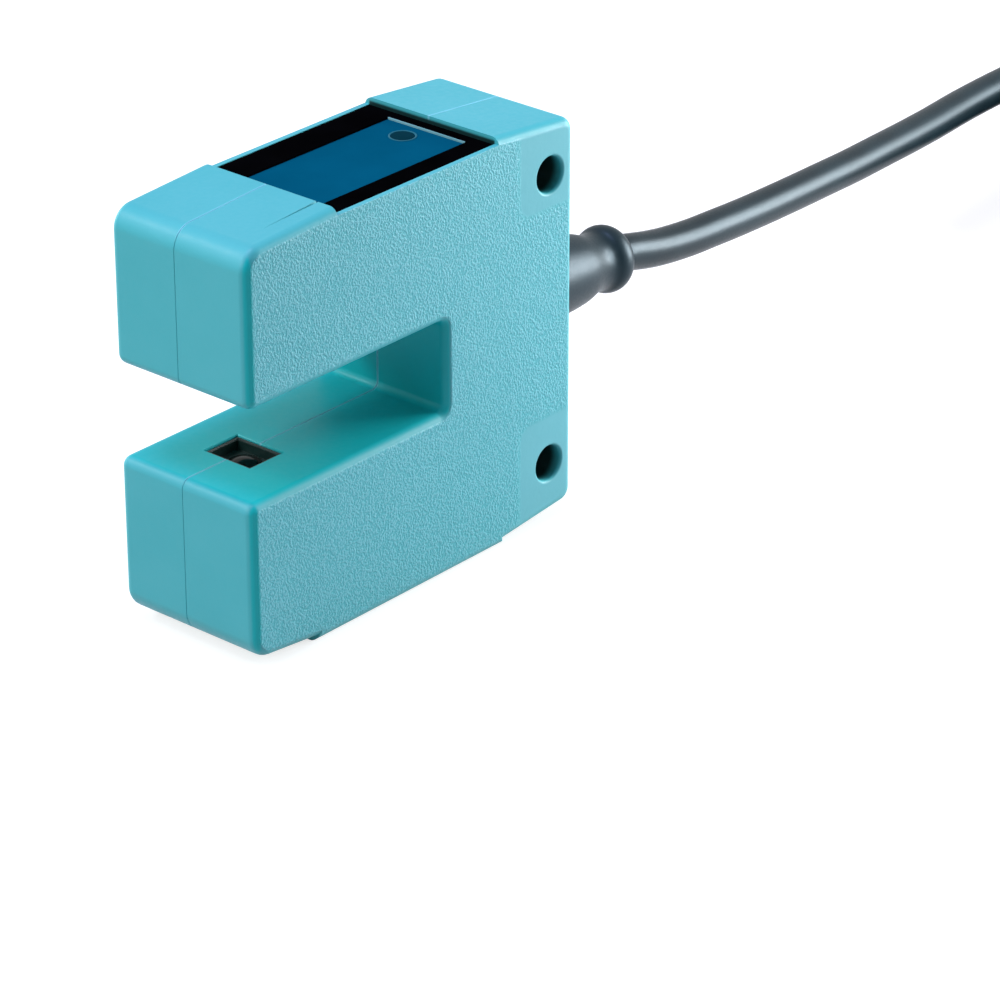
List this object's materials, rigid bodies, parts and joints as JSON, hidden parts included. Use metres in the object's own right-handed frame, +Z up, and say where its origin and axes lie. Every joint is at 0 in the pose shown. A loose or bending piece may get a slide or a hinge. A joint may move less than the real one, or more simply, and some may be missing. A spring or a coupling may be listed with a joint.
{
  "type": "fork sensor",
  "caption": "Moulded C-shaped light barrier with a beam across its slot, an indicator window on top, through holes for screws and a cable with a strain relief.",
  "frame": {"origin": "middle of the housing's footprint, at the face of its foot pad", "axes": "+Z up, +X from the open end of the fork towards the cable, +Y across the halves away from the grained side face"},
  "size_m": [0.2675, 0.0421, 0.05],
  "materials": {
    "case_teal": "satin moulding, fine grain on one side face",
    "window_tint": "clear tinted plate",
    "frame_black": "black film",
    "board_green": "solder mask",
    "holder_black": "moulded",
    "lens_dark": "polished dark filter",
    "diode_dark": "cast resin",
    "lamp_clear": "cast resin",
    "chip_black": "moulded, tinned legs",
    "can_tin": "plain can",
    "core_brown": "insulated wire",
    "core_blue": "insulated wire",
    "core_black": "insulated wire",
    "boot_black": "satin",
    "cable_black": "satin jacket",
    "tie_black": "plain band"
  },
  "bodies": {
    "root": {"near_case_half": "case_teal", "far_case_half": "case_teal", "window_plate": "window_tint", "window_frame": "frame_black", "circuit_board": "board_green", "emitter_holder": "holder_black", "emitter_lens": "lens_dark", "emitter_diode": "diode_dark", "receiver_holder": "holder_black", "receiver_lens": "lens_dark", "receiver_diode": "diode_dark", "indicator_lamp": "lamp_clear", "amplifier_chip": "chip_black", "voltage_regulator": "chip_black", "output_transistor": "chip_black", "protection_diode": "chip_black", "filter_capacitor": "can_tin", "chip_resistors": "chip_black", "core_wire_brown": "core_brown", "core_wire_blue": "core_blue", "core_wire_black": "core_black", "cable_boot": "boot_black", "cable": "cable_black", "cable_coil": "cable_black", "coil_tie": "tie_black", "lead_brown": "core_brown", "lead_blue": "core_blue", "lead_black": "core_black"}
  },
  "joints": []
}
